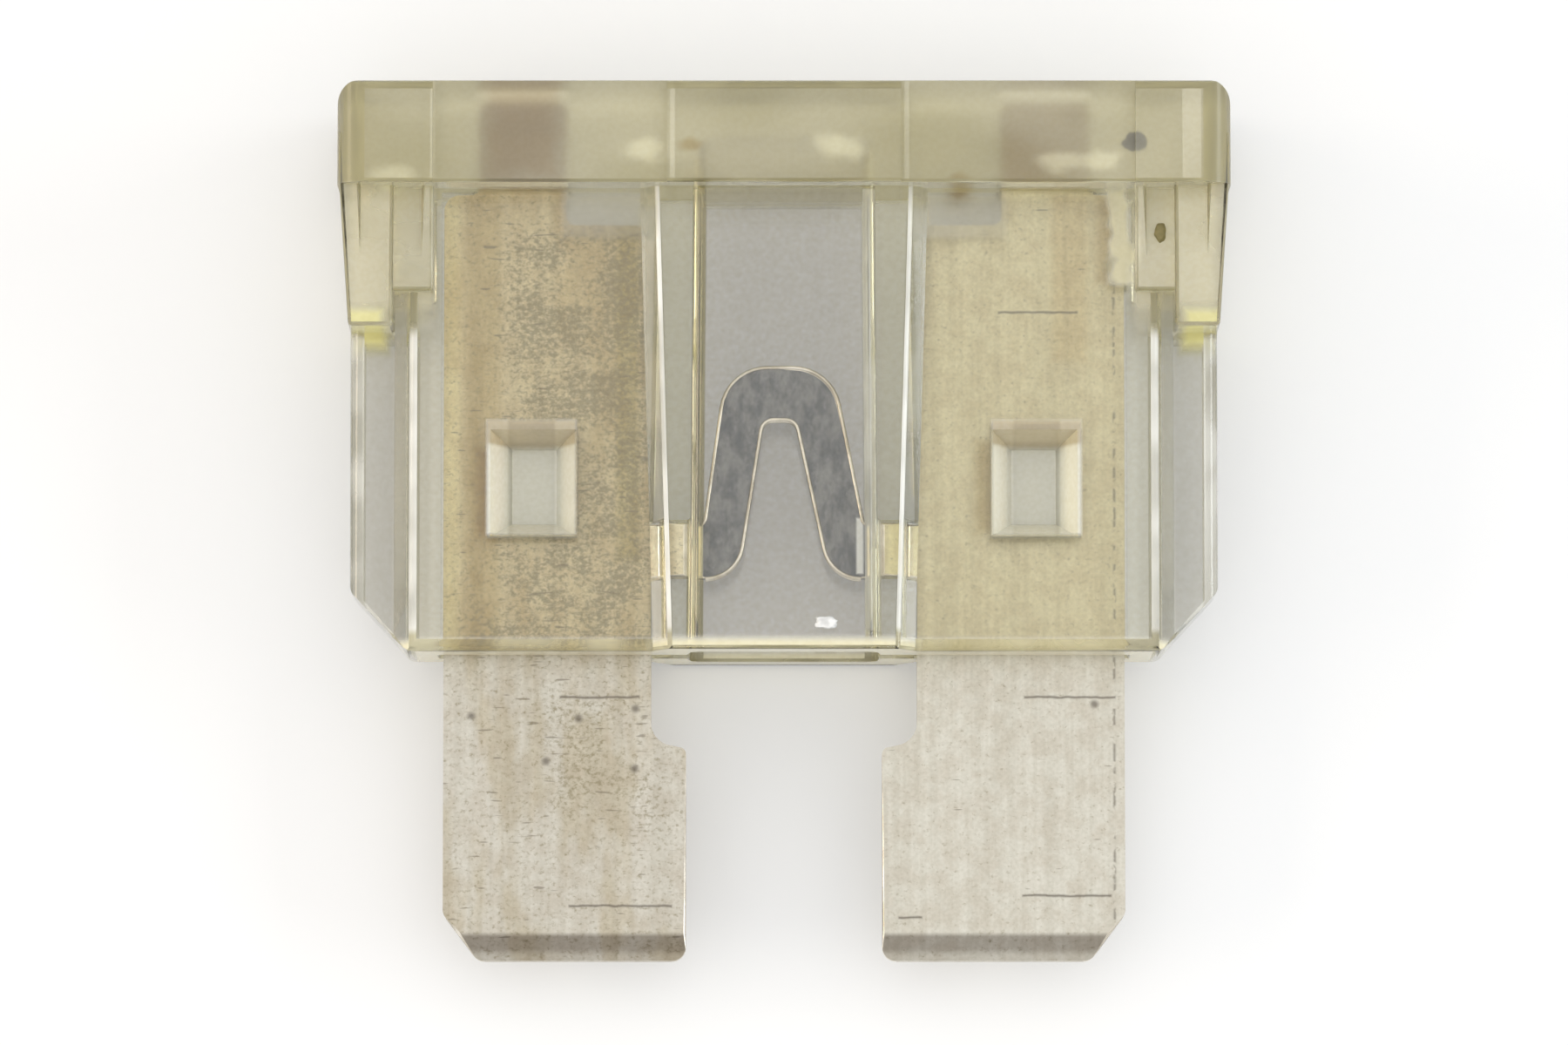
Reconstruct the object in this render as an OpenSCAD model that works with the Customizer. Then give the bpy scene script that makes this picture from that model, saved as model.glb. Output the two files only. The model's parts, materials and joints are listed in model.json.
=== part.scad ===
// Plug-in blade fuse: a clear moulded housing over one stamped metal fuse element.
// The fuse lies on its back: X runs across the blades, Y from the blade tips to the head and Z up.
// The modules below work from the middle of the housing's bottom edge, with X and Y in the plane of the
// blades and Z through the thickness. lying() then tilts the finished pieces to rest on the ground.

/* [Head] */
// Width of the head, the widest part of the housing
head_w = 19.1; // [18.8:0.1:21]
// Thickness of the head from back to front
head_t = 5.1; // [4.7:0.1:6]
// Height of the head along the fuse
head_h = 2.2; // [1.8:0.1:3]
// Radius of the head's outer corners, seen from the front
head_corner_r = 0.5; // [0.2:0.05:0.9]
// Radius of the head's end corners, seen from the top
head_end_r = 0.6; // [0.2:0.05:1.2]
// Radius of the head's two long upper edges
head_edge_r = 0.2; // [0.05:0.05:0.4]
// Depth of the finger panels in the head's two faces
grip_depth = 0.12; // [0.05:0.01:0.3]
// Distance of each finger panel's inner edge from the middle
grip_in = 2.5; // [2:0.1:3.5]
// Distance of each finger panel's outer edge from the middle
grip_out = 7.5; // [6.5:0.1:8.5]

/* [Skirt] */
// Height of the whole housing
housing_h = 12.15; // [11.9:0.05:14]
// Width of the skirt where it meets the head
skirt_top_w = 19; // [18.7:0.1:19.1]
// Width of the skirt at its bottom edge
skirt_bottom_w = 18.6; // [18:0.1:18.8]
// Width of each cut bottom corner
corner_cut_w = 1.25; // [0.6:0.05:1.6]
// Height of each cut bottom corner
corner_cut_h = 1.35; // [0.6:0.05:2]
// Radius that softens the cut bottom corners
corner_cut_r = 0.4; // [0.1:0.05:0.6]
// Thickness of the outer wings
wing_t = 1.7; // [1.4:0.1:2.2]
// Radius of the wings' long edges
wing_edge_r = 0.3; // [0.1:0.05:0.6]
// Thickness of the panels over the blades
panel_t = 2.9; // [2.5:0.1:3.2]
// Distance from the middle to the edge of the panel's flat
panel_edge = 7.95; // [7.7:0.05:8.1]
// Width of the slope from the panel down to the wing
panel_slope = 0.4; // [0.2:0.05:0.5]
// Radius of the panels' long edges
panel_edge_r = 0.2; // [0.05:0.05:0.3]
// Radius of the panels' bottom edges
panel_foot_r = 0.25; // [0.05:0.05:0.4]

/* [Shoulders] */
// Thickness of the outer shoulders under the head
shoulder_t = 4.5; // [4.1:0.1:4.6]
// Distance from the middle to the outer shoulder's inner side
shoulder_in = 8.35; // [8.2:0.05:8.7]
// Height of the outer shoulder's underside above the bottom edge
shoulder_bottom = 6.9; // [5.5:0.1:8]
// Thickness of the inner step of each shoulder
step_t = 3.7; // [3.6:0.1:3.9]
// Distance from the middle to the inner step's inner side
step_in = 7.5; // [7.4:0.05:7.9]
// Height of the inner step's underside above the bottom edge
step_bottom = 7.7; // [6.5:0.1:8.4]
// Depth of the sloping pocket in each shoulder face, where it meets the head
pocket_depth = 0.3; // [0.1:0.05:0.35]
// Height of the pocket below the head
pocket_h = 1.5; // [0.8:0.1:2]
// Wall left on each side of the pocket
pocket_wall = 0.25; // [0.2:0.05:0.4]

/* [Centre block] */
// Thickness of the raised block over the link
block_t = 3.9; // [3.6:0.1:4.3]
// Width of the block's face at the head
block_top_w = 5.6; // [5.4:0.1:6.6]
// Width of the block's face at the bottom edge
block_bottom_w = 4.95; // [4.8:0.05:6]
// Draft of the block's sides, from its face to the panels
block_draft = 0.32; // [0.05:0.01:0.4]
// Width of the chamfer along the block's two long edges
block_chamfer = 0.1; // [0.02:0.01:0.3]

/* [Link chamber] */
// Width of the chamber at its roof
chamber_top_w = 3.9; // [3.6:0.1:4.2]
// Width of the chamber at the bottom edge
chamber_bottom_w = 4.05; // [3.8:0.05:4.4]
// Thickness of the chamber
chamber_t = 2.4; // [1.6:0.1:2.8]
// Plastic above the chamber's roof
roof_t = 1.1; // [0.6:0.1:1.6]
// Radius of the chamber's upper corners
chamber_r = 0.4; // [0.1:0.05:0.8]
// Radius of the chamber's long edges
chamber_edge_r = 0.28; // [0.1:0.02:0.6]

/* [Element fit] */
// Gap between the metal and the housing around it
element_gap = 0.05; // [0.02:0.01:0.1]
// Thickness of each test-probe mouth in the top of the head
probe_mouth_t = 1.1; // [0.8:0.1:1.6]
// Depth of each test-probe mouth
probe_mouth_depth = 0.8; // [0.4:0.1:1.4]

/* [Blades] */
// Thickness of the sheet metal
blade_t = 0.65; // [0.5:0.05:0.8]
// Width of each blade below its notch
blade_w = 5.2; // [4.8:0.1:5.4]
// Distance between the two blades' centre lines
blade_pitch = 9.4; // [9.2:0.1:9.6]
// Length of blade below the housing
blade_reach = 6.55; // [5.5:0.05:8]
// Depth of the notch that narrows each blade above its working length
notch_w = 0.75; // [0.3:0.05:1]
// Distance of the notch below the housing
notch_drop = 1.85; // [1:0.05:2.4]
// Fall of the notch's lower side
notch_fall = 0.15; // [0:0.05:0.3]
// Radius inside the notch
notch_r = 0.5; // [0.2:0.05:0.6]
// Width of the cut on each tip's outer corner
tip_cut_w = 0.75; // [0.3:0.05:1.2]
// Height of the cut on each tip's outer corner
tip_cut_h = 1; // [0.4:0.05:1.4]
// Radius of the tip's corners
tip_r = 0.3; // [0.1:0.05:0.35]
// Height of the coined bevel at the tip
tip_bevel_h = 0.6; // [0.3:0.05:1]
// Thickness left at the very tip
tip_t = 0.35; // [0.2:0.05:0.45]
// Height of the blade's inner shoulder
inner_shoulder = 9.25; // [8:0.05:9.5]
// Height of the blade's outer shoulder
outer_shoulder = 9.9; // [9.5:0.05:10.2]
// Radius of the blade's shoulders
blade_shoulder_r = 0.35; // [0.1:0.05:0.4]
// Width of the test tab that rises into the head
tab_w = 1.85; // [1.4:0.05:2.1]
// Distance from the middle to the test tab's centre
tab_x = 5.6; // [5.4:0.05:5.8]
// Depth of the test tab's end below the top of the head
tab_recess = 0.3; // [0.1:0.05:0.7]
// Radius of the test tab's corners
tab_r = 0.2; // [0.05:0.05:0.3]

/* [Link] */
// Thickness of the thinned fuse link
link_t = 0.3; // [0.15:0.05:0.4]
// Height of the top of the link's arch
arch_top = 6.2; // [5:0.1:8]
// Width of the arch across its two upper corners
arch_w = 2.24; // [1.9:0.02:2.6]
// Radius of the arch's upper corners
arch_r = 1; // [0.6:0.05:1.1]
// Width of the link across the outside of its feet
foot_w = 3.4; // [3:0.1:3.5]
// Height of the top of the link's opening
opening_top = 5.08; // [4:0.02:5.2]
// Width of the top of the link's opening
opening_w = 0.72; // [0.6:0.02:1]
// Radius at the top of the link's opening
opening_r = 0.28; // [0.1:0.02:0.3]
// Width of the link's opening where its sides reach the bottom of the feet
opening_foot_w = 2; // [1.6:0.1:2.4]
// Radius that flares the opening's sides into the feet
flare_r = 0.8; // [0.3:0.05:1]
// Sideways lean of the arch
arch_lean = 0.1; // [0:0.02:0.2]
// Height of the underside of the arms that join the link to the blades
arm_bottom = 1.65; // [1.2:0.05:2]
// Height of the arms
arm_h = 1.15; // [0.8:0.05:1.5]
// Distance from the middle to the thin end of each arm
arm_in = 1.85; // [1.8:0.05:2.1]
// Length of the slope from the arm's full thickness down to the link's
arm_slope = 0.25; // [0.1:0.05:0.4]
// Radius of the corners between the arms, the link and the blades
arm_r = 0.15; // [0.05:0.01:0.2]

/* [Stakes] */
// Distance from the middle to each stake's centre
stake_x = 5.35; // [5:0.05:5.6]
// Height of each stake's centre above the bottom edge
stake_y = 3.6; // [3:0.1:6]
// Width of the hole in the blade
stake_hole_w = 1.6; // [1.2:0.05:2]
// Height of the hole in the blade
stake_hole_h = 2.05; // [1.4:0.05:2.4]
// Width of the stake's dimple at the panel's face
dimple_w = 1.85; // [1.5:0.05:2.2]
// Height of the stake's dimple at the panel's face
dimple_h = 2.3; // [1.8:0.05:2.6]
// Width of the dimple's floor
dimple_floor_w = 0.95; // [0.6:0.05:1.2]
// Height of the dimple's floor
dimple_floor_h = 1.6; // [1:0.05:1.8]
// Depth of the dimple
dimple_depth = 0.9; // [0.4:0.05:1]

/* [Hidden] */
// Largest turn from one point of a rounded corner to the next, in degrees
arc_step = 10;
// Turn from one slice of the chamber's rounded roof to the next, in degrees
roof_step = 22.5;
// Thickness of the thin slices that hull() joins
slice = 0.01;
// How far a cut runs past the face that it opens
past = 1;
head_bottom = housing_h - head_h;
body_top = head_bottom + head_h / 2;
blade_in = (blade_pitch - blade_w) / 2;
blade_out = (blade_pitch + blade_w) / 2;
neck_in = blade_in + notch_w;
tab_in = tab_x - tab_w / 2;
tab_out = tab_x + tab_w / 2;
tab_top = housing_h - tab_recess;
arm_top = arm_bottom + arm_h;
slot_t = blade_t + 2 * element_gap;
// Tilt at which the back edges of the head and of the centre block both touch the ground
rest_tilt = atan((head_t - block_t) / 2 / head_bottom);
// Ends of the tilted fuse along Y
rest_top = housing_h * cos(rest_tilt) + head_t / 2 * sin(rest_tilt);
rest_tip = -blade_reach * cos(rest_tilt) - tip_t / 2 * sin(rest_tilt);

// Points of the arc that rounds corner b, between neighbours a and c, with radius r
function corner_arc(a, b, c, r) =
    let (
        to_a = (a - b) / norm(a - b),
        to_c = (c - b) / norm(c - b),
        half = acos(to_a * to_c) / 2,
        centre = b + (to_a + to_c) / norm(to_a + to_c) * r / sin(half),
        first = b + to_a * r / tan(half) - centre,
        turn = sign(-cross(to_a, to_c)) * (180 - 2 * half),
        steps = ceil(abs(turn) / arc_step)
    )
    [for (i = [0 : steps])
        let (angle = turn * i / steps)
        centre + [first.x * cos(angle) - first.y * sin(angle),
                  first.x * sin(angle) + first.y * cos(angle)]];

// Closed outline through corners written as [x, y, radius]
function rounded(corners) =
    let (count = len(corners))
    [for (i = [0 : count - 1])
        let (
            here = corners[i],
            before = corners[(i + count - 1) % count],
            after = corners[(i + 1) % count]
        )
        each here[2] == 0
            ? [[here.x, here.y]]
            : corner_arc([before.x, before.y], [here.x, here.y], [after.x, after.y], here[2])];

// Right-hand corners, listed upwards, followed by their mirror images on the left
function both_sides(right) =
    concat(right, [for (i = [len(right) - 1 : -1 : 0]) [-right[i].x, right[i].y, right[i][2]]]);

// Extrudes an X and Z section along Y
module along_y(from, to) {
    translate([0, to, 0]) rotate([90, 0, 0]) linear_extrude(to - from) children();
}

// Extrudes a Y and Z section along X
module along_x(from, to) {
    translate([from, 0, 0]) rotate([90, 0, 90]) linear_extrude(to - from) children();
}

// Extrudes a front outline evenly to the back and the front
module through(thickness) {
    linear_extrude(thickness, center = true) children();
}

// Repeats a right-hand shape on the left
module left_and_right() {
    children();
    mirror([1, 0, 0]) children();
}

// Repeats a front shape on the back
module front_and_back() {
    children();
    mirror([0, 0, 1]) children();
}

// Lays the finished fuse on its back as it comes to rest, with its outline centred on the origin
module lying() {
    translate([0, -(rest_top + rest_tip) / 2, block_t / 2 * cos(rest_tilt)])
        rotate([rest_tilt, 0, 0])
            children();
}

// The head, rounded at its ends and along its top, with finger panels in its faces
module head() {
    difference() {
        intersection() {
            through(head_t)
                polygon(rounded(both_sides([
                    [head_w / 2, head_bottom, 0],
                    [head_w / 2, housing_h, head_corner_r]
                ])));
            along_y(head_bottom, housing_h)
                polygon(rounded(both_sides([
                    [head_w / 2, -head_t / 2, head_end_r],
                    [head_w / 2, head_t / 2, head_end_r]
                ])));
            along_x(-head_w / 2, head_w / 2)
                polygon(rounded([
                    [head_bottom, -head_t / 2, 0],
                    [housing_h, -head_t / 2, head_edge_r],
                    [housing_h, head_t / 2, head_edge_r],
                    [head_bottom, head_t / 2, 0]
                ]));
        }
        left_and_right() front_and_back()
            translate([grip_in, head_bottom - past, head_t / 2 - grip_depth])
                cube([grip_out - grip_in, head_h + 2 * past, grip_depth + past]);
    }
}

// The skirt below the head: thin wings, thicker panels over the blades and cut bottom corners
module skirt() {
    intersection() {
        through(panel_t)
            polygon(rounded(both_sides([
                [skirt_bottom_w / 2 - corner_cut_w, 0, corner_cut_r],
                [skirt_bottom_w / 2, corner_cut_h, corner_cut_r],
                [skirt_top_w / 2, body_top, 0]
            ])));
        along_y(0, body_top)
            polygon(rounded(both_sides([
                [panel_edge, -panel_t / 2, panel_edge_r],
                [panel_edge + panel_slope, -wing_t / 2, 0],
                [skirt_bottom_w / 2, -wing_t / 2, wing_edge_r],
                [skirt_bottom_w / 2, wing_t / 2, wing_edge_r],
                [panel_edge + panel_slope, wing_t / 2, 0],
                [panel_edge, panel_t / 2, panel_edge_r]
            ])));
        along_x(-skirt_top_w / 2, skirt_top_w / 2)
            polygon(rounded([
                [0, -panel_t / 2, panel_foot_r],
                [body_top, -panel_t / 2, 0],
                [body_top, panel_t / 2, 0],
                [0, panel_t / 2, panel_foot_r]
            ]));
    }
}

// One slab of a shoulder, with a pocket in each face that deepens up to the head
module shoulder_slab(thickness) {
    difference() {
        through(thickness) children();
        front_and_back()
            along_x(step_in + pocket_wall, skirt_bottom_w / 2 - pocket_wall)
                polygon([
                    [head_bottom - pocket_h, thickness / 2],
                    [head_bottom, thickness / 2 - pocket_depth],
                    [head_bottom, thickness / 2 + past],
                    [head_bottom - pocket_h, thickness / 2 + past]
                ]);
    }
}

// The stepped shoulder under the right end of the head
module shoulder() {
    shoulder_slab(shoulder_t)
        polygon([
            [shoulder_in, shoulder_bottom],
            [skirt_bottom_w / 2, shoulder_bottom],
            [skirt_top_w / 2, head_bottom],
            [skirt_top_w / 2, body_top],
            [shoulder_in, body_top]
        ]);
    shoulder_slab(step_t)
        translate([step_in, step_bottom])
            square([shoulder_in + pocket_wall - step_in, body_top - step_bottom]);
}

// Front outline of the centre block, widened by its draft
module block_outline(draft) {
    polygon([
        [block_bottom_w / 2 + draft, 0],
        [block_top_w / 2 + draft, body_top],
        [-block_top_w / 2 - draft, body_top],
        [-block_bottom_w / 2 - draft, 0]
    ]);
}

// The raised block over the link, with drafted sides and chamfered long edges
module centre_block() {
    hull() {
        through(block_t) block_outline(-block_chamfer);
        through(block_t - 2 * block_chamfer) block_outline(0);
        through(panel_t - slice) block_outline(block_draft);
    }
}

// A thin slice across the chamber, with its upper side at the given height
module chamber_slice(height, width) {
    along_y(height - slice, height)
        offset(chamber_edge_r, $fn = 24)
            square([width - 2 * chamber_edge_r, chamber_t - 2 * chamber_edge_r], center = true);
}

// The space around the link, open at the bottom edge and rounded at its roof
module link_chamber() {
    roof = housing_h - roof_t;
    hull() {
        chamber_slice(-past, chamber_bottom_w);
        for (turn = [0 : roof_step : 90])
            chamber_slice(
                roof - chamber_r * (1 - sin(turn)),
                chamber_top_w - 2 * chamber_r * (1 - cos(turn)));
    }
}

// The slot that takes one blade, its arm and its test tab, with the probe mouth above the tab
module blade_slot() {
    slot_tab_in = tab_in - element_gap;
    slot_tab_out = tab_out + element_gap;
    slot_top = outer_shoulder + element_gap;
    slot_arm_top = arm_top + element_gap;
    through(slot_t)
        polygon(rounded([
            [0, -past, 0],
            [blade_out + element_gap, -past, 0],
            [blade_out + element_gap, slot_top, 0],
            [slot_tab_out, slot_top, max(0, tab_r - element_gap)],
            [slot_tab_out, housing_h + past, 0],
            [slot_tab_in, housing_h + past, 0],
            [slot_tab_in, slot_top, 0],
            [neck_in - element_gap, slot_top, 0],
            [neck_in - element_gap, slot_arm_top, max(0, arm_r - element_gap)],
            [0, slot_arm_top, 0]
        ]));
    through(probe_mouth_t)
        translate([slot_tab_in, housing_h - probe_mouth_depth])
            square([slot_tab_out - slot_tab_in, probe_mouth_depth + past]);
}

// The plastic that fills the hole in one blade, joined to both panels
module stake_plug() {
    translate([stake_x, stake_y])
        cube([stake_hole_w - 2 * element_gap, stake_hole_h - 2 * element_gap, (slot_t + panel_t) / 2],
            center = true);
}

// The dimple that the staking tool leaves in a panel's face
module stake_dimple() {
    translate([stake_x, stake_y]) hull() {
        translate([0, 0, panel_t / 2]) through(slice) square([dimple_w, dimple_h], center = true);
        translate([0, 0, panel_t / 2 - dimple_depth])
            through(slice) square([dimple_floor_w, dimple_floor_h], center = true);
    }
}

// The clear housing, moulded in one piece
module housing() {
    color([0.86, 0.84, 0.62, 0.45]) lying() difference() {
        union() {
            difference() {
                union() {
                    head();
                    skirt();
                    left_and_right() shoulder();
                    centre_block();
                }
                link_chamber();
                left_and_right() blade_slot();
            }
            left_and_right() stake_plug();
        }
        left_and_right() front_and_back() stake_dimple();
    }
}

// Front outline of the right-hand blade with its test tab and arm
function blade_corners() = [
    [blade_in, -blade_reach, tip_r],
    [blade_out - tip_cut_w, -blade_reach, tip_r],
    [blade_out, tip_cut_h - blade_reach, tip_r],
    [blade_out, outer_shoulder, blade_shoulder_r],
    [tab_out, outer_shoulder, tab_r],
    [tab_out, tab_top, tab_r],
    [tab_in, tab_top, tab_r],
    [tab_in, inner_shoulder, tab_r],
    [neck_in, inner_shoulder, blade_shoulder_r],
    [neck_in, arm_top, arm_r],
    [arm_in, arm_top, 0],
    [arm_in, arm_bottom, 0],
    [neck_in, arm_bottom, arm_r],
    [neck_in, -notch_drop, notch_r],
    [blade_in, -notch_drop - notch_fall, arm_r]
];

// One blade: thinned along its arm towards the link and bevelled at its tip
module blade() {
    difference() {
        intersection() {
            through(blade_t) polygon(rounded(blade_corners()));
            along_y(-blade_reach, housing_h)
                polygon([
                    [arm_in, -link_t / 2],
                    [arm_in + arm_slope, -blade_t / 2],
                    [blade_out, -blade_t / 2],
                    [blade_out, blade_t / 2],
                    [arm_in + arm_slope, blade_t / 2],
                    [arm_in, link_t / 2]
                ]);
            along_x(arm_in, blade_out)
                polygon([
                    [-blade_reach, -tip_t / 2],
                    [tip_bevel_h - blade_reach, -blade_t / 2],
                    [housing_h, -blade_t / 2],
                    [housing_h, blade_t / 2],
                    [tip_bevel_h - blade_reach, blade_t / 2],
                    [-blade_reach, tip_t / 2]
                ]);
        }
        translate([stake_x, stake_y])
            cube([stake_hole_w, stake_hole_h, blade_t + past], center = true);
    }
}

// The arched link that melts, thinner than the blades and lapped into both arms
module link() {
    lap = arm_in + arm_slope / 2;
    through(link_t)
        polygon(rounded([
            [lap, arm_bottom, 0],
            [lap, arm_top, 0],
            [foot_w / 2, arm_top, arm_r],
            [arch_w / 2 - arch_lean, arch_top, arch_r],
            [-arch_w / 2 - arch_lean, arch_top, arch_r],
            [-foot_w / 2, arm_top, arm_r],
            [-lap, arm_top, 0],
            [-lap, arm_bottom, 0],
            [-opening_foot_w / 2, arm_bottom, flare_r],
            [-opening_w / 2 - arch_lean, opening_top, opening_r],
            [opening_w / 2 - arch_lean, opening_top, opening_r],
            [opening_foot_w / 2, arm_bottom, flare_r]
        ]));
}

// The fuse element, stamped from one strip of metal
module fuse_element() {
    color([0.78, 0.75, 0.69]) lying() union() {
        left_and_right() blade();
        link();
    }
}

housing();
fuse_element();
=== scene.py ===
"""Looks of a clear plug-in blade fuse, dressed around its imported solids."""
import json
from functools import reduce
from math import atan2, cos, pi, radians, sin
from random import Random

import bmesh
import bpy
from mathutils import Matrix, Vector, noise


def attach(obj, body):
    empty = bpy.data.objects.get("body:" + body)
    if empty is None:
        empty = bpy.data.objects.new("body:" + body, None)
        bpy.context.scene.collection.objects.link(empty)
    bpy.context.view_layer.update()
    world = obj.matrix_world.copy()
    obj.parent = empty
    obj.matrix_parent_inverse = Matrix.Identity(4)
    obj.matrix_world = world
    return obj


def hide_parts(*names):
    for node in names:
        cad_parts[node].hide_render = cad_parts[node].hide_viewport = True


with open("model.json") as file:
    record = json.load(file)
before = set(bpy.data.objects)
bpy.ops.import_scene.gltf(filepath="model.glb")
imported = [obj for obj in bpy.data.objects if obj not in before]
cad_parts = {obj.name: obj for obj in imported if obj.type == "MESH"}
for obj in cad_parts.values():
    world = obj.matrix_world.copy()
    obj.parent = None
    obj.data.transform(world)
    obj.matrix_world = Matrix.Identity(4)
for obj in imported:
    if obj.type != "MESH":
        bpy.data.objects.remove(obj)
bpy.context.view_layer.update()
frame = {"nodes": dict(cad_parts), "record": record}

MM = 0.001
WHITE = (1.0, 1.0, 1.0, 1.0)

SCENE = bpy.context.scene
MOUNTS = {mount["name"]: mount for mount in frame["record"]["mounts"]}
BLADE_REACH = MOUNTS["left_blade"]["dims"]["length_mm"]

# The photograph's view: the camera's lean from the face towards the blades, in degrees, its distance,
# the width that it frames, and the height of its aim above the housing's lower edge, in millimetres
VIEW_LEAN = 6.0
VIEW_DISTANCE = 0.23
FRAME_WIDTH = 33.7 * MM
AIM_ABOVE_SKIRT = 2.9

# The light: the sky's strength at the horizon and overhead, and the two strips' size and radiance
SKY_AT_HORIZON = 0.48
SKY_OVERHEAD = 1.12
STRIP_SIZE = (0.4, 0.16)
STRIP_RADIANCE = 4.5
LIGHT_BOUNCES = 8

# The tinted plastic: its refraction, the colour that it lets through and how much it absorbs in a metre
PLASTIC_IOR = 1.58
PLASTIC_ABSORBS = {"Color": (0.95, 0.9, 0.45, 1.0), "Density": 90.0}

# Outer edges that turn by at least this are rounded, by these radii and in this many steps
SHARP_TURN = radians(28)
HOUSING_ROUNDING = 0.075 * MM
ELEMENT_ROUNDING = 0.055 * MM
ROUNDING_STEPS = 3
# A face narrower than the first takes the edge's material, and one wider than the second is shaded flat
EDGE_FACE = 0.145 * MM
FLAT_FACE = 0.15 * MM
# Normals run together between faces that turn by less than this
SMOOTH_TURN = radians(50)
# Vertices nearer than the first are one, and slivers narrower than the second are dropped
WELD_REACH = 1e-6
SLIVER_WIDTH = 1e-7

# The bead on the link: its radius, and the part of the element that it follows, in millimetres
BEAD_RADIUS = 0.042 * MM
LINK_HALF_WIDTH = 1.8
LINK_FOOT = 1.5

# Height of the head's underside above the housing's lower edge, in millimetres
HEAD_FOOT = 9.95

# Marks below are given in millimetres in the fuse's own frame.
# Whitened places in the head: place across and height. The two on the right are a painted highlight,
# standing in for light off the right test tab's edge.
MILKY_AND_GLINT_PLACES = [(-8.35, 10.1), (-3.02, 10.68), (1.22, 10.72), (6.0, 10.35), (6.75, 10.45)]
# Pale upright lines in the head: place across and half width. The first three are painted highlights
# along the edges of the head's panels.
PAINTED_HEAD_LINES = [(-7.5, 0.05), (-2.38, 0.05), (2.62, 0.05), (8.7, 0.2)]
# Brown spots on the head and at its lower edge: place across and height
BROWN_PLACES = [(-1.95, 10.7), (3.75, 9.97)]
# Both are drawn as round dots in a frame squeezed across by this, so that they come out broad and flat
MARK_SQUEEZE = 0.5
# The place over the left test tab that is tinted brown, a painted shade standing in for the shadow of its
# test-point hole: left, right, lower and upper sides
TAB_PAINTED_SHADE = (-6.3, -4.85, 10.1, 12.3)
# A cream sliver beside the right blade, a painted highlight standing in for light off the test tab's
# outer edge, given in the same way
CREAM_GLINT_SLIVER = (6.95, 7.45, 7.95, 9.9)
# The yellow patches under the shoulders' outer ends, given in the same way for the right one
YELLOW_PATCH = (8.55, 9.4, 6.6, 7.25)
# A stake and its dimple, given in the same way for the right one
STAKE = (4.45, 6.35, 2.5, 4.95)
# Scratches across the blades: left end, right end and height
SCRATCHES = [
    (-4.8, -3.1, -0.9),
    (-4.6, -2.4, -5.38),
    (5.15, 7.1, -0.9),
    (5.1, 7.0, -5.16),
    (2.45, 2.95, -5.63),
    (4.6, 6.3, 7.36),
]
# Where grime has settled on the left blade: left, right, lower and upper sides
GRIMY_PATCHES = [
    (-5.9, -2.9, 4.8, 9.0),
    (-4.3, -2.9, 2.2, 5.0),
    (-6.6, -2.9, 0.1, 2.4),
    (-5.2, -2.8, -3.6, -0.9),
]
# Places on the metal tinted lighter or darker: sides as above, and the colour that tints them. Those
# marked below are painted highlights, painted shade and painted reflections.
PAINTED_LIGHT_AND_TONE_PATCHES = [
    ((-6.85, -6.1, 0.2, 10.0), (0.85, 0.81, 0.7, 1.0)),
    # painted highlight along the left blade's rolled outer edge
    ((-7.4, -6.95, 0.2, 9.9), (1.08, 1.1, 1.0, 1.0)),
    ((-3.6, -3.1, 2.0, 9.3), (0.8, 0.78, 0.62, 1.0)),
    # painted shade on the test tabs inside the head
    ((-6.6, -4.6, 10.1, 12.2), (0.38, 0.28, 0.17, 1.0)),
    ((4.6, 6.6, 10.1, 12.2), (0.55, 0.44, 0.3, 1.0)),
    ((5.75, 6.5, 6.3, 9.9), (0.93, 0.88, 0.8, 1.0)),
    ((6.7, 7.05, 8.0, 9.9), (0.85, 0.78, 0.68, 1.0)),
    # painted shadow around the tops and sides of the stakes
    ((-6.3, -4.5, 4.55, 4.95), (0.68, 0.6, 0.48, 1.0)),
    ((-6.6, -6.15, 2.5, 4.4), (0.74, 0.66, 0.54, 1.0)),
    ((4.1, 4.5, 2.6, 4.6), (0.8, 0.73, 0.6, 1.0)),
    ((4.6, 6.1, 4.6, 4.9), (0.75, 0.68, 0.54, 1.0)),
    # painted reflections on the link's feet
    ((-2.35, -1.8, 1.6, 2.9), (1.5, 1.6, 1.9, 1.0)),
    ((2.2, 2.8, 1.6, 2.9), (1.3, 1.3, 1.15, 1.0)),
]
# Painted highlights on the link's feet, given as above
LINK_PAINTED_HIGHLIGHTS = [(1.55, 1.7, 1.75, 2.95), (-1.85, -1.74, 1.68, 2.8)]
# Dark spots on the blades: place across and height
DARK_SPOTS = [(6.65, -1.05), (-3.18, -1.15), (-6.7, -1.3), (-4.4, -1.36), (-5.1, -2.28), (-3.2, -2.43)]


def fuse_axes():
    """The fuse's own frame: x across the blades, y from the tips to the head, z out of its front."""
    tips = [Vector(MOUNTS[name]["pos_m"]) for name in ("left_blade", "right_blade")]
    across = (tips[1] - tips[0]).normalized()
    along = -Vector(MOUNTS["left_blade"]["axis"]).normalized()
    out = across.cross(along)
    turn = Matrix((across, along, out)).transposed()
    skirt = (tips[0] + tips[1]) / 2 + along * BLADE_REACH * MM
    return turn, skirt


FUSE_TURN, SKIRT_FOOT = fuse_axes()


def fuse_point(x, y, z):
    """A place given in millimetres in the fuse's own frame, from the middle of its lower edge."""
    return SKIRT_FOOT + FUSE_TURN @ Vector((x, y, z)) * MM


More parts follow.
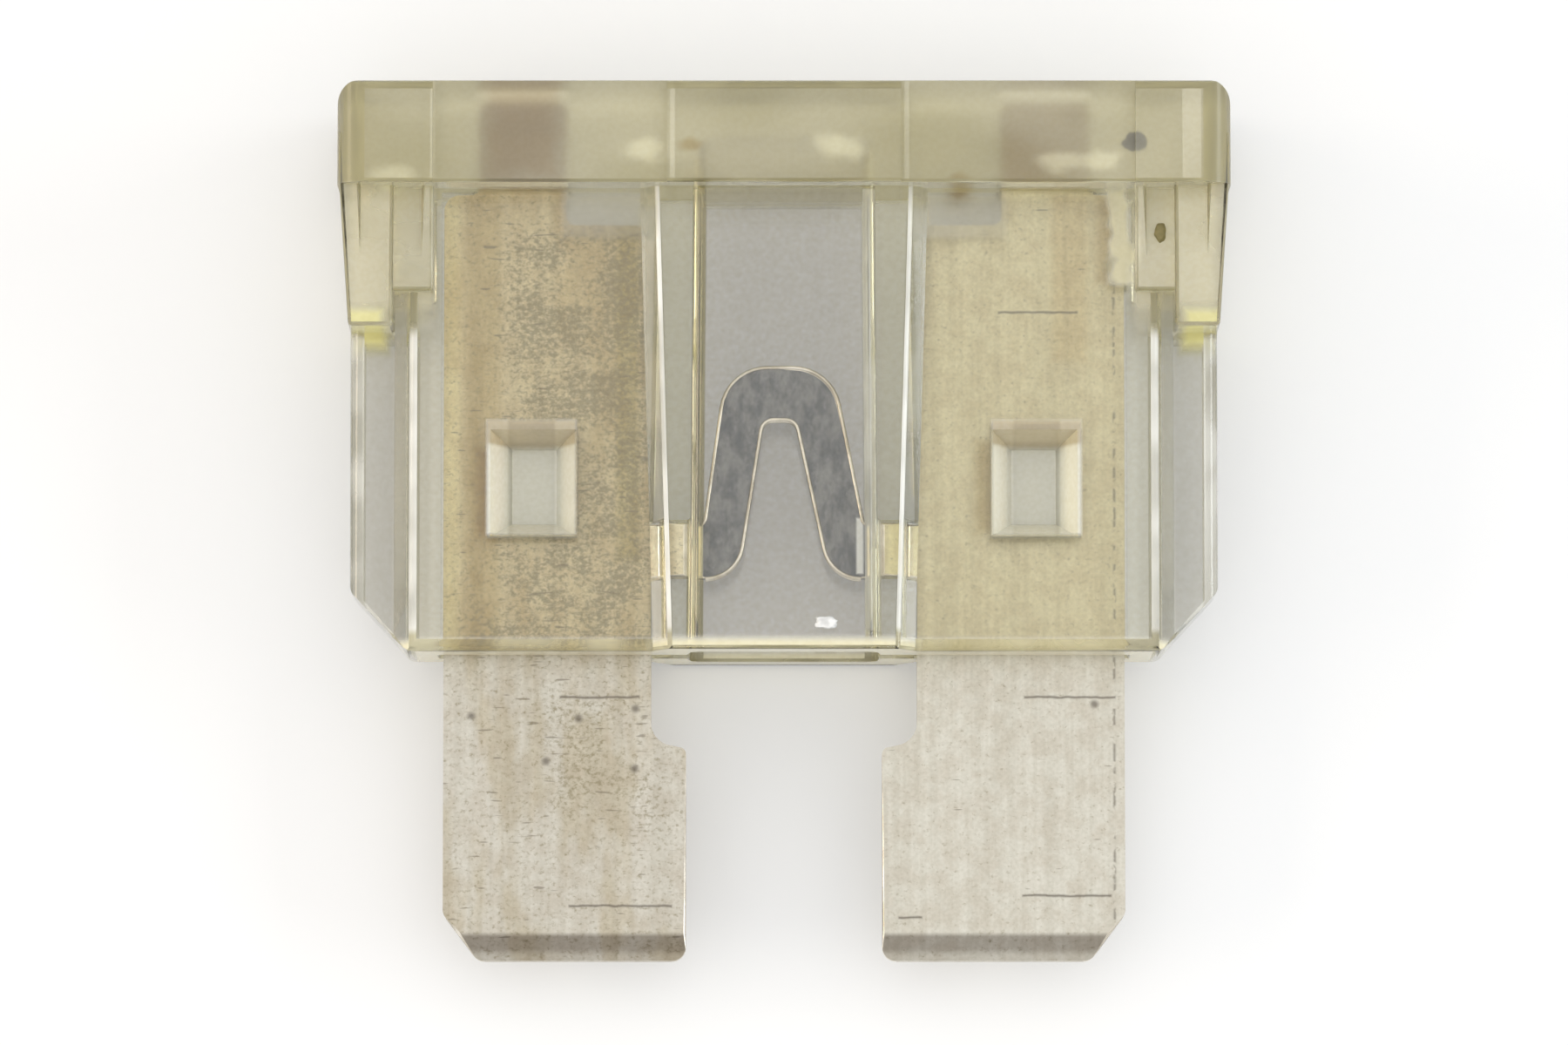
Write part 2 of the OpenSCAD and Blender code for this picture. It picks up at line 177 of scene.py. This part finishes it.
class Graph:
    """One material and short calls for its nodes. A given socket is linked, and a given number is set."""

    def __init__(self, name):
        self.material = bpy.data.materials.new(name)
        self.material.use_nodes = True
        self.tree = self.material.node_tree
        self.tree.nodes.clear()

    def node(self, kind, values=None, **settings):
        made = self.tree.nodes.new("ShaderNode" + kind)
        for key, value in settings.items():
            setattr(made, key, value)
        for key, value in (values or {}).items():
            self.put(made.inputs[key], value)
        return made

    def put(self, socket, value):
        if isinstance(value, bpy.types.NodeSocket):
            self.tree.links.new(value, socket)
        else:
            socket.default_value = value

    def math(self, operation, first, second=0.0, third=0.0):
        made = self.node("Math", {0: first, 1: second, 2: third}, operation=operation)
        return made.outputs[0]

    def ramp(self, value, low, high, start=0.0, end=1.0):
        values = {"Value": value, "From Min": low, "From Max": high, "To Min": start, "To Max": end}
        return self.node("MapRange", values, interpolation_type="SMOOTHSTEP").outputs["Result"]

    def band(self, value, low, high, soft):
        rise = self.ramp(value, low - soft, low + soft)
        fall = self.ramp(value, high - soft, high + soft, 1.0, 0.0)
        return self.math("MULTIPLY", rise, fall)

    def times(self, *values):
        return reduce(lambda first, second: self.math("MULTIPLY", first, second), values)

    def most(self, *values):
        return reduce(lambda first, second: self.math("MAXIMUM", first, second), values)

    def least(self, *values):
        return reduce(lambda first, second: self.math("MINIMUM", first, second), values)

    def vector(self, operation, first, second=(0.0, 0.0, 0.0)):
        return self.node("VectorMath", {0: first, 1: second}, operation=operation).outputs[0]

    def joined(self, x, y):
        return self.node("CombineXYZ", {"X": x, "Y": y}).outputs[0]

    def outside(self, place, box):
        """How far a place lies outside a rectangle given by its left, right, lower and upper sides."""
        left, right, low, high = box
        away = self.vector("SUBTRACT", place, ((left + right) / 2, (low + high) / 2, 0.0))
        away = self.vector("ABSOLUTE", away)
        away = self.vector("SUBTRACT", away, ((right - left) / 2, (high - low) / 2, 0.0))
        parts = self.node("SeparateXYZ", {0: away}).outputs
        return self.most(parts["X"], parts["Y"])

    def patches(self, place, boxes, soft):
        """1 inside any of the rectangles."""
        nearest = self.least(*[self.outside(place, box) for box in boxes])
        return self.ramp(nearest, -soft, soft, 1.0, 0.0)

    def patch(self, place, box, soft):
        return self.patches(place, [box], soft)

    def dots(self, place, middles, inner, outer):
        """1 near any of the given places across and along, fading between the two radii."""
        away = []
        for x, y in middles:
            apart = self.node("VectorMath", {0: place, 1: (x, y, 0.0)}, operation="DISTANCE")
            away.append(apart.outputs["Value"])
        return self.ramp(self.least(*away), inner, outer, 1.0, 0.0)

    def mix(self, share, first, second, blend="MIX"):
        made = self.node("Mix", data_type="RGBA", blend_type=blend)
        self.put(made.inputs[0], share)
        self.put(made.inputs[6], first)
        self.put(made.inputs[7], second)
        return made.outputs[2]

    def noise(self, place, scale, detail=2.0, roughness=0.5):
        values = {"Vector": place, "Scale": scale, "Detail": detail, "Roughness": roughness}
        return self.node("TexNoise", values).outputs["Fac"]

    def stretched(self, place, x, y, z):
        return self.vector("MULTIPLY", place, (x, y, z))

    def fuse_place(self):
        """Texture coordinates in millimetres in the fuse's own frame, whole and as x and y."""
        tilt = atan2(FUSE_TURN[2][1], FUSE_TURN[1][1])
        back = Matrix.Rotation(-tilt, 3, "X")
        values = {
            "Vector": self.node("TexCoord").outputs["Object"],
            "Location": -(back @ SKIRT_FOOT) / MM,
            "Rotation": (-tilt, 0.0, 0.0),
            "Scale": (1 / MM, 1 / MM, 1 / MM),
        }
        place = self.node("Mapping", values, vector_type="POINT").outputs["Vector"]
        parts = self.node("SeparateXYZ", {0: place}).outputs
        return place, parts["X"], parts["Y"]

    def surface(self, shader, volume=None):
        out = self.node("OutputMaterial", {"Surface": shader.outputs[0]})
        if volume:
            self.put(out.inputs["Volume"], volume.outputs[0])
        return self.material


def hazy_places(graph, mirrored, across, y):
    """1 in the head and the shoulders, where the moulding is frosted, and less beside the test tabs."""
    head = graph.ramp(y, HEAD_FOOT - 0.05, HEAD_FOOT + 0.05)
    shoulder = graph.times(graph.ramp(across, 7.4, 7.6), graph.ramp(y, 6.7, 7.1), 0.8)
    beside_tab = graph.times(graph.patch(mirrored, (2.75, 4.75, 8.9, 10.0), 0.1), 0.6)
    return graph.most(head, shoulder, beside_tab)


def squeezed(places):
    """The middles of marks in the frame that is squeezed across."""
    return [(MARK_SQUEEZE * across, height) for across, height in places]


def plastic_surface(graph, colour, roughness, milk):
    """Tinted clear plastic, less clear by the share of milk."""
    values = {
        "Base Color": colour,
        "Roughness": roughness,
        "IOR": PLASTIC_IOR,
        "Transmission Weight": graph.math("SUBTRACT", 1.0, milk),
    }
    shader = graph.node("BsdfPrincipled", values)
    return graph.surface(shader, graph.node("VolumeAbsorption", PLASTIC_ABSORBS))


def clear_plastic():
    """The housing's faces: hazy in the head and shoulders, greyed in the wings as painted shade, and
    whitened at the stakes, the lower edge and a few places in the head as painted highlights, with
    painted shade at the stakes' tops and over the left test tab.
    """
    graph = Graph("clear_plastic_looks")
    place, x, y = graph.fuse_place()
    across = graph.math("ABSOLUTE", x)
    mirrored = graph.joined(across, y)
    hazy = hazy_places(graph, mirrored, across, y)
    stake = graph.patch(mirrored, STAKE, 0.06)
    from_stake = graph.math("ABSOLUTE", graph.math("SUBTRACT", across, (STAKE[0] + STAKE[1]) / 2))
    stake_side_highlight = graph.times(stake, graph.ramp(from_stake, 0.45, 0.55))
    stake_top_shade = graph.times(stake, graph.ramp(y, 4.38, 4.5))
    lower_rim_highlight = graph.ramp(y, 0.1, 0.35, 1.0, 0.0)
    shoulder = graph.times(graph.ramp(across, 7.4, 7.6), graph.band(y, 7.35, HEAD_FOOT, 0.1))
    cloud = graph.ramp(graph.noise(graph.stretched(place, 0.3, 0.6, 0.3), 1.0, 1.0), 0.3, 0.7, 0.1, 0.26)
    wander = graph.math("MULTIPLY_ADD", graph.noise(place, 1.8, 1.0), 0.6, -0.3)
    bent = graph.vector("ADD", place, graph.joined(wander, graph.math("MULTIPLY", wander, -0.7)))
    flattened = graph.stretched(bent, MARK_SQUEEZE, 1.0, 0.0)
    milky_and_glint = graph.dots(flattened, squeezed(MILKY_AND_GLINT_PLACES), 0.1, 0.35)
    brown = graph.dots(flattened, squeezed(BROWN_PLACES), 0.03, 0.22)
    painted_lines = graph.most(*[graph.math("COMPARE", x, middle, half) for middle, half in PAINTED_HEAD_LINES])
    painted_lines = graph.times(painted_lines, graph.math("GREATER_THAN", y, HEAD_FOOT))
    glint_sliver = graph.patch(bent, CREAM_GLINT_SLIVER, 0.12)
    yellow = graph.patch(mirrored, YELLOW_PATCH, 0.15)
    tab_shade = graph.times(graph.patch(bent, TAB_PAINTED_SHADE, 0.3), graph.ramp(cloud, 0.1, 0.22, 0.6, 1.0))
    milk = graph.times(hazy, cloud)
    # Painted highlights among the shares below: the stake and its sides, the lower rim, the cream sliver,
    # the pale lines and the two right milky places. The other shares whiten the plastic itself.
    for mask, share in (
        (yellow, 0.45),
        (glint_sliver, 0.5),
        (stake, 0.43),
        (stake_side_highlight, 0.19),
        (lower_rim_highlight, 0.75),
        (shoulder, 0.14),
        (milky_and_glint, 0.2),
        (painted_lines, 0.2),
    ):
        milk = graph.math("MULTIPLY_ADD", mask, share, milk)
    # The wings are greyed, and their outer feet more, a painted shade standing in for the darker floor
    # seen through them.
    wing_shade = graph.mix(graph.ramp(across, 7.52, 7.68), WHITE, (0.88, 0.875, 0.86, 1.0))
    wing_shade = graph.mix(graph.ramp(across, 8.27, 8.43), wing_shade, (0.68, 0.675, 0.67, 1.0))
    tint = graph.mix(graph.ramp(y, 6.75, 6.95, 1.0, 0.0), WHITE, wing_shade)
    below_head = graph.math("LESS_THAN", y, HEAD_FOOT - 0.1)
    window = graph.times(graph.ramp(across, 2.0, 2.2, 1.0, 0.0), below_head)
    # Among the tints below, the stake's top and the place over the left tab are painted shade, and the
    # stake, the lower rim, the sliver and the two right milky places are tinted with their painted
    # highlights.
    for mask, colour in (
        (window, (0.97, 0.965, 0.97, 1.0)),
        (graph.times(hazy, hazy, hazy, 0.8), (0.86, 0.81, 0.59, 1.0)),
        (graph.times(shoulder, 0.5), (1.0, 0.93, 0.7, 1.0)),
        (lower_rim_highlight, (1.0, 0.94, 0.67, 1.0)),
        (stake, (1.0, 0.99, 0.89, 1.0)),
        (stake_top_shade, (0.68, 0.6, 0.44, 1.0)),
        (yellow, (1.0, 0.95, 0.47, 1.0)),
        (graph.most(glint_sliver, milky_and_glint), (0.98, 0.94, 0.7, 1.0)),
        (brown, (0.66, 0.54, 0.32, 1.0)),
        (tab_shade, (0.78, 0.68, 0.49, 1.0)),
    ):
        tint = graph.mix(mask, tint, colour)
    grain = graph.ramp(graph.noise(place, 9.0, 1.0), 0.3, 0.7)
    tint = graph.mix(grain, tint, (0.95, 0.94, 0.91, 1.0), "MULTIPLY")
    haze = graph.ramp(cloud, 0.1, 0.26, 0.0, 0.03)
    return plastic_surface(graph, tint, graph.math("MULTIPLY_ADD", hazy, 0.3, haze), milk)


def edge_painted_highlight():
    """The housing's rounded edges, painted milkier and whiter than its faces: a painted highlight for the
    light that rounded edges gather, with painted shade on the left chamber wall's edges.
    """
    graph = Graph("bright_edge_looks")
    place, x, y = graph.fuse_place()
    across = graph.math("ABSOLUTE", x)
    mirrored = graph.joined(across, y)
    hazy = hazy_places(graph, mirrored, across, y)
    bright = graph.ramp(graph.noise(place, 0.7, 1.0), 0.3, 0.7, 0.35, 0.75)
    highlight_share = graph.math("MULTIPLY_ADD", hazy, -0.6, bright)
    # The edges of the chamber's left wall are darker olive, a painted shade.
    left_wall_shade = graph.patch(place, (-2.2, -1.6, 0.2, 11.0), 0.1)
    olive = graph.most(left_wall_shade, graph.ramp(y, 0.3, 0.5, 1.0, 0.0))
    stake = graph.patch(mirrored, (4.3, 6.5, 2.3, 5.1), 0.05)
    dull = graph.most(olive, stake, graph.ramp(across, 8.9, 9.05))
    highlight_share = graph.math("MULTIPLY_ADD", dull, -0.35, highlight_share)
    highlight_share = graph.math("MULTIPLY_ADD", graph.band(across, 2.35, 2.95, 0.05), 0.2, highlight_share)
    highlight_share = graph.math("MAXIMUM", highlight_share, 0.08)
    colour = graph.mix(graph.most(hazy, olive), (1.0, 0.99, 0.93, 1.0), (0.86, 0.8, 0.54, 1.0))
    colour = graph.mix(left_wall_shade, colour, (0.62, 0.57, 0.36, 1.0))
    return plastic_surface(graph, colour, graph.math("MULTIPLY_ADD", hazy, 0.3, 0.04), highlight_share)


def plated_zinc():
    """Dull plated metal with rolling streaks, stains and scratches; painted shade darkens the link, the
    tips and the right blade's outer edge, and painted highlights brighten the link's feet.
    """
    graph = Graph("plated_zinc_looks")
    place, x, y = graph.fuse_place()
    left = graph.ramp(x, -0.5, 0.5, 1.0, 0.0)
    covered = graph.ramp(y, -0.1, 0.3)
    streak = graph.noise(graph.stretched(place, 6.0, 0.2, 1.0), 1.0, 4.0)
    colour = graph.mix(graph.ramp(streak, 0.3, 0.7), (0.66, 0.63, 0.54, 1.0), (0.73, 0.7, 0.61, 1.0))
    mottle = graph.ramp(graph.noise(place, 2.2, 4.0, 0.6), 0.35, 0.65)
    colour = graph.mix(mottle, colour, (0.91, 0.885, 0.86, 1.0), "MULTIPLY")
    grain = graph.ramp(graph.noise(place, 13.0, 1.0), 0.3, 0.7)
    colour = graph.mix(grain, colour, (0.92, 0.92, 0.91, 1.0), "MULTIPLY")
    colour = graph.mix(left, colour, (0.95, 0.94, 0.94, 1.0), "MULTIPLY")
    covered_tone = graph.mix(left, (1.08, 1.03, 0.81, 1.0), (1.06, 0.96, 0.72, 1.0))
    colour = graph.mix(covered, colour, covered_tone, "MULTIPLY")
    blotch = graph.noise(graph.stretched(place, 1.1, 0.4, 1.0), 1.0, 3.0)
    stain = graph.times(left, graph.ramp(blotch, 0.45, 0.62))
    colour = graph.mix(stain, colour, (0.88, 0.84, 0.76, 1.0), "MULTIPLY")
    for box, tone in PAINTED_LIGHT_AND_TONE_PATCHES:
        colour = graph.mix(graph.patch(place, box, 0.15), colour, tone, "MULTIPLY")
    dashes = graph.noise(graph.stretched(place, 1.8, 11.0, 1.0), 1.0, 1.0)
    dash_share = graph.ramp(graph.math("MULTIPLY_ADD", left, 0.07, dashes), 0.77, 0.83)
    colour = graph.mix(graph.times(dash_share, 0.6), colour, (0.2, 0.17, 0.13, 1.0))
    grimy = graph.patches(place, GRIMY_PATCHES, 0.6)
    cluster = graph.ramp(graph.noise(place, 0.9, 2.0), 0.3, 0.6)
    speckle = graph.noise(graph.stretched(place, 8.0, 10.0, 6.0), 1.0, 3.0, 0.7)
    thick = graph.math("MULTIPLY_ADD", left, 0.05, graph.math("SUBTRACT", speckle, 0.1))
    heavy = graph.math("MULTIPLY_ADD", covered, 0.13, 0.08)
    thick = graph.math("MULTIPLY_ADD", graph.times(grimy, cluster), heavy, thick)
    colour = graph.mix(graph.ramp(thick, 0.45, 0.72, 0.0, 0.72), colour, (0.26, 0.22, 0.13, 1.0))
    wander = graph.math("MULTIPLY_ADD", graph.noise(place, 3.0), 0.08, -0.04)
    bent_y = graph.math("ADD", y, wander)
    bent = graph.joined(x, bent_y)
    lines = [(start, end, height - 0.02, height + 0.02) for start, end, height in SCRATCHES]
    # The broken band along the right blade's outer edge is painted shadow, standing in for the shadow of
    # its edge burr; it is darkened with the scratches and spots.
    burr_shadow_gaps = graph.ramp(graph.noise(place, 4.0), 0.5, 0.6)
    burr_shadow = graph.times(graph.band(x, 7.05, 7.1, 0.03), burr_shadow_gaps, 0.7)
    spots = graph.times(graph.dots(bent, DARK_SPOTS, 0.02, 0.14), 0.8)
    marks_and_burr_shadow = graph.most(graph.patches(bent, lines, 0.03), spots, burr_shadow)
    colour = graph.mix(graph.times(marks_and_burr_shadow, 0.85), colour, (0.12, 0.1, 0.08, 1.0))
    # The link is painted dark grey, a painted shade standing in for the dark surroundings that its metal
    # reflects.
    link = graph.times(graph.band(x, -1.9, 1.9, 0.1), graph.ramp(y, 1.2, 1.4))
    link_shade_mottle = graph.ramp(graph.noise(graph.stretched(place, 3.5, 2.0, 2.0), 1.0, 4.0, 0.7), 0.32, 0.68)
    link_painted_shade = graph.mix(link_shade_mottle, (0.12, 0.125, 0.135, 1.0), (0.28, 0.28, 0.275, 1.0))
    colour = graph.mix(link, colour, link_painted_shade)
    # Painted highlights on the link's feet.
    link_highlight = graph.patches(place, LINK_PAINTED_HIGHLIGHTS, 0.03)
    colour = graph.mix(link_highlight, colour, (0.85, 0.86, 0.83, 1.0))
    # The tips are darkened, a painted shade on their bevelled ends, less so at the very end.
    tip_shade = graph.ramp(y, 0.5 - BLADE_REACH, 0.62 - BLADE_REACH, 1.0, 0.0)
    tip_shade = graph.times(tip_shade, graph.ramp(bent_y, 0.08 - BLADE_REACH, 0.28 - BLADE_REACH, 0.45, 1.0))
    colour = graph.mix(tip_shade, colour, (0.5, 0.48, 0.47, 1.0), "MULTIPLY")
    bump = graph.node("Bump", {"Height": streak, "Strength": 0.12, "Distance": 0.05 * MM})
    shader = graph.node(
        "BsdfPrincipled",
        {"Base Color": colour, "Metallic": 1.0, "Roughness": 0.42, "Normal": bump.outputs["Normal"]},
    )
    return graph.surface(shader)


def rolled_edge_and_highlight():
    """The brighter metal that the stamping tool rubbed along the element's edges, its lightness partly a
    painted highlight.
    """
    graph = Graph("rolled_edge_looks")
    place = graph.fuse_place()[0]
    tone = graph.ramp(graph.noise(place, 1.3, 3.0), 0.35, 0.65)
    colour = graph.mix(tone, (0.62, 0.56, 0.45, 1.0), (0.93, 0.88, 0.78, 1.0))
    shader = graph.node("BsdfPrincipled", {"Base Color": colour, "Metallic": 1.0, "Roughness": 0.25})
    return graph.surface(shader)


def cad_form(node):
    """A node's own form, with its flat faces whole instead of cut into triangles."""
    form = bmesh.new()
    form.from_mesh(frame["nodes"][node].data)
    bmesh.ops.remove_doubles(form, verts=form.verts, dist=WELD_REACH)
    bmesh.ops.dissolve_limit(form, angle_limit=radians(0.5), verts=form.verts, edges=form.edges)
    return form


def room_beside(edge, face):
    """How far a face reaches from one of its edges, as a rough width."""
    start, end = (vert.co for vert in edge.verts)
    along = (end - start).normalized()
    reach = 0.0
    for vert in face.verts:
        away = vert.co - start
        reach = max(reach, (away - along * away.dot(along)).length)
    return reach


def breadth(mesh, face):
    """A face's rough width: the full width of a long strip, half the side of a square."""
    corners = [mesh.vertices[index].co for index in face.vertices]
    around = sum((corners[i] - corners[i - 1]).length for i in range(len(corners)))
    return 2 * face.area / around


def smooth(mesh):
    """Marks all of a mesh's faces as smooth."""
    mesh.polygons.foreach_set("use_smooth", [True] * len(mesh.polygons))


def settle_normals(mesh):
    """Shades wide faces flat and lets the narrow faces of a rounding run smoothly into them."""
    smooth(mesh)
    flat = [breadth(mesh, face) > FLAT_FACE for face in mesh.polygons]
    faces_at = [[] for vert in mesh.vertices]
    for face in mesh.polygons:
        for vert in face.vertices:
            faces_at[vert].append(face)
    normals = []
    for face in mesh.polygons:
        for vert in face.vertices:
            around = faces_at[vert]
            near = [other for other in around if other.normal.angle(face.normal, 0.0) < SMOOTH_TURN]
            flats = [other for other in near if flat[other.index]]
            if flat[face.index]:
                normals.append(face.normal)
            elif flats:
                normals.append(max(flats, key=lambda other: other.area).normal)
            else:
                weighted = [other.normal * other.area for other in near]
                normals.append(sum(weighted, Vector()).normalized())
    mesh.normals_split_custom_set(normals)


def rounded_copy(node, name, materials, radius):
    """A node's own form with its sharp outer edges rounded, standing for the node."""
    form = cad_form(node)
    edge_slot = len(materials) - 1
    sharp = []
    for edge in form.edges:
        if edge.calc_face_angle_signed(0.0) < SHARP_TURN or edge.calc_length() < 3 * radius:
            continue
        if min(room_beside(edge, face) for face in edge.link_faces) > 3 * radius:
            sharp.append(edge)
    bmesh.ops.bevel(
        form, geom=sharp, offset=radius, offset_type="OFFSET", segments=ROUNDING_STEPS, profile=0.5,
        affect="EDGES", clamp_overlap=False, material=edge_slot, miter_outer="SHARP",
    )
    bmesh.ops.remove_doubles(form, verts=form.verts, dist=WELD_REACH)
    bmesh.ops.dissolve_degenerate(form, edges=form.edges, dist=SLIVER_WIDTH)
    mesh = bpy.data.meshes.new(name)
    form.to_mesh(mesh)
    form.free()
    for material in materials:
        mesh.materials.append(material)
    for face in mesh.polygons:
        if breadth(mesh, face) < EDGE_FACE:
            face.material_index = edge_slot
    settle_normals(mesh)
    piece = bpy.data.objects.new(name, mesh)
    SCENE.collection.objects.link(piece)
    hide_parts(node)
    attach(piece, "root")


def place_piece(name, mesh, material):
    """Links a small mesh of the scene's own to the fuse."""
    mesh.materials.clear()
    mesh.materials.append(material)
    piece = bpy.data.objects.new(name, mesh)
    SCENE.collection.objects.link(piece)
    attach(piece, "root")


def lengthen(run, left):
    """Adds the edges that carry on from a run's last vertex, and takes them from those that are left."""
    while True:
        onward = [edge.index for edge in run[-1].link_edges if edge.index in left]
        if not onward:
            return
        run.append(left.pop(onward[0]).other_vert(run[-1]))


def joined_runs(edges):
    """The edges joined end to end, as lists of their vertices."""
    left = {edge.index: edge for edge in edges}
    while left:
        first = next(iter(left))
        run = list(left.pop(first).verts)
        lengthen(run, left)
        run.reverse()
        lengthen(run, left)
        run.reverse()
        yield run


def link_bead():
    """The bright bead that stamping left along the link's edges."""
    form = cad_form("fuse_element")
    curve = bpy.data.curves.new("link_bead", "CURVE")
    curve.dimensions = "3D"
    curve.bevel_depth = BEAD_RADIUS
    curve.bevel_resolution = 2
    curve.use_fill_caps = True
    form.edges.index_update()
    beaded = []
    for edge in form.edges:
        ends = [FUSE_TURN.transposed() @ (vert.co - SKIRT_FOOT) / MM for vert in edge.verts]
        on_link = all(abs(end.x) <= LINK_HALF_WIDTH and end.y >= LINK_FOOT for end in ends)
        if on_link and edge.calc_face_angle(0.0) >= radians(60):
            beaded.append(edge)
    for run in joined_runs(beaded):
        line = curve.splines.new("POLY")
        line.points.add(len(run) - 1)
        for point, vert in zip(line.points, run):
            point.co = (*vert.co, 1.0)
    form.free()
    shape = bpy.data.objects.new("link_bead_curve", curve)
    SCENE.collection.objects.link(shape)
    settled = shape.evaluated_get(bpy.context.evaluated_depsgraph_get())
    mesh = bpy.data.meshes.new_from_object(settled)
    bpy.data.objects.remove(shape)
    smooth(mesh)
    place_piece("link_bead", mesh, rolled_edge_and_highlight())


def crumb(name, place, size, colour, seed):
    """A small irregular grain, given by its middle and its three half lengths in millimetres."""
    random = Random(seed)
    form = bmesh.new()
    bmesh.ops.create_icosphere(form, subdivisions=3, radius=1.0)
    lean = Vector((random.random(), random.random(), random.random())) * 9
    for vert in form.verts:
        ripple = 1.0 + 0.45 * noise.noise(vert.co * 1.7 + lean)
        reach = [part * half * ripple for part, half in zip(vert.co, size)]
        vert.co = fuse_point(*(middle + away for middle, away in zip(place, reach)))
    mesh = bpy.data.meshes.new(name)
    form.to_mesh(mesh)
    form.free()
    smooth(mesh)
    graph = Graph(name + "_looks")
    tone = graph.ramp(graph.noise(graph.fuse_place()[0], 6.0, 3.0), 0.3, 0.7)
    darker = tuple(0.7 * part for part in colour[:3]) + (1.0,)
    shade = graph.mix(tone, colour, darker)
    shader = graph.node("BsdfPrincipled", {"Base Color": shade, "Roughness": 0.8})
    place_piece(name, mesh, graph.surface(shader))


def add_floor():
    """A sheet of white paper that keeps the fuse's soft shadow."""
    half = 1.5
    corners = [(-half, -half, 0), (half, -half, 0), (half, half, 0), (-half, half, 0)]
    mesh = bpy.data.meshes.new("floor")
    mesh.from_pydata(corners, [], [(0, 1, 2, 3)])
    floor = bpy.data.objects.new("floor", mesh)
    SCENE.collection.objects.link(floor)
    graph = Graph("floor_paper")
    paper = graph.node("BsdfPrincipled", {"Base Color": (0.97, 0.97, 0.97, 1.0), "Roughness": 0.9})
    white = graph.node("Emission", {"Strength": 1.0})
    rays = graph.node("LightPath").outputs
    seen = graph.most(rays["Is Camera Ray"], rays["Is Glossy Ray"], rays["Is Transmission Ray"])
    share = graph.times(seen, 0.2)
    shader = graph.node("MixShader", {0: share, 1: paper.outputs[0], 2: white.outputs[0]})
    material = graph.surface(shader)
    material.cycles.emission_sampling = "NONE"
    mesh.materials.append(material)


def add_strip(name, place, colour):
    """A rectangular lamp that faces the fuse and looks as bright as its radiance."""
    width, height = STRIP_SIZE
    lamp = bpy.data.lights.new(name, "AREA")
    lamp.shape = "RECTANGLE"
    lamp.size = width
    lamp.size_y = height
    lamp.energy = STRIP_RADIANCE * pi * width * height
    lamp.color = colour
    holder = bpy.data.objects.new(name, lamp)
    holder.location = place
    holder.rotation_euler = (-Vector(place)).to_track_quat("-Z", "Y").to_euler()
    SCENE.collection.objects.link(holder)


def light_scene():
    """A soft sky, brightest overhead, with a warm strip on the left and a cool one on the right."""
    world = bpy.data.worlds.new("studio")
    SCENE.world = world
    world.use_nodes = True
    nodes = world.node_tree.nodes
    links = world.node_tree.links
    direction = nodes.new("ShaderNodeSeparateXYZ")
    level = nodes.new("ShaderNodeMapRange")
    level.inputs["To Min"].default_value = SKY_AT_HORIZON
    level.inputs["To Max"].default_value = SKY_OVERHEAD
    links.new(nodes.new("ShaderNodeTexCoord").outputs["Generated"], direction.inputs[0])
    links.new(direction.outputs["Z"], level.inputs["Value"])
    links.new(level.outputs["Result"], nodes["Background"].inputs["Strength"])
    nodes["Background"].inputs["Color"].default_value = WHITE
    add_strip("warm_strip", (-0.5, 0.0, 0.2), (1.0, 0.86, 0.66))
    add_strip("cool_strip", (0.5, 0.0, 0.2), (0.93, 0.98, 1.0))


def add_camera():
    """A camera at the photograph's viewing angle."""
    lens = bpy.data.cameras.new("camera")
    lens.sensor_width = 36.0
    lens.lens = lens.sensor_width * VIEW_DISTANCE / FRAME_WIDTH
    lens.clip_start = 0.01
    camera = bpy.data.objects.new("camera", lens)
    SCENE.collection.objects.link(camera)
    aim = fuse_point(0.0, AIM_ABOVE_SKIRT, 0.0)
    lean = radians(VIEW_LEAN)
    back = FUSE_TURN @ Vector((0.0, -sin(lean), cos(lean)))
    camera.location = aim + back * VIEW_DISTANCE
    up = FUSE_TURN @ Vector((0.0, cos(lean), sin(lean)))
    camera.rotation_euler = Matrix((up.cross(back), up, back)).transposed().to_euler()
    SCENE.camera = camera


add_camera()
add_floor()
light_scene()
rounded_copy("housing", "clear_housing", [clear_plastic(), edge_painted_highlight()], HOUSING_ROUNDING)
rounded_copy("fuse_element", "stamped_element", [plated_zinc(), rolled_edge_and_highlight()], ELEMENT_ROUNDING)
link_bead()
crumb("dark_inclusion", (7.5, 10.85, 1.9), (0.26, 0.2, 0.18), (0.012, 0.012, 0.01, 1.0), 3)
crumb("pocket_dirt", (8.05, 8.95, 1.8), (0.12, 0.2, 0.06), (0.26, 0.22, 0.09, 1.0), 5)
crumb("white_fleck", (0.88, 0.55, 1.96), (0.25, 0.14, 0.02), (0.95, 0.95, 0.93, 1.0), 8)

SCENE.view_settings.view_transform = "Standard"
SCENE.cycles.max_bounces = LIGHT_BOUNCES
SCENE.cycles.transmission_bounces = LIGHT_BOUNCES
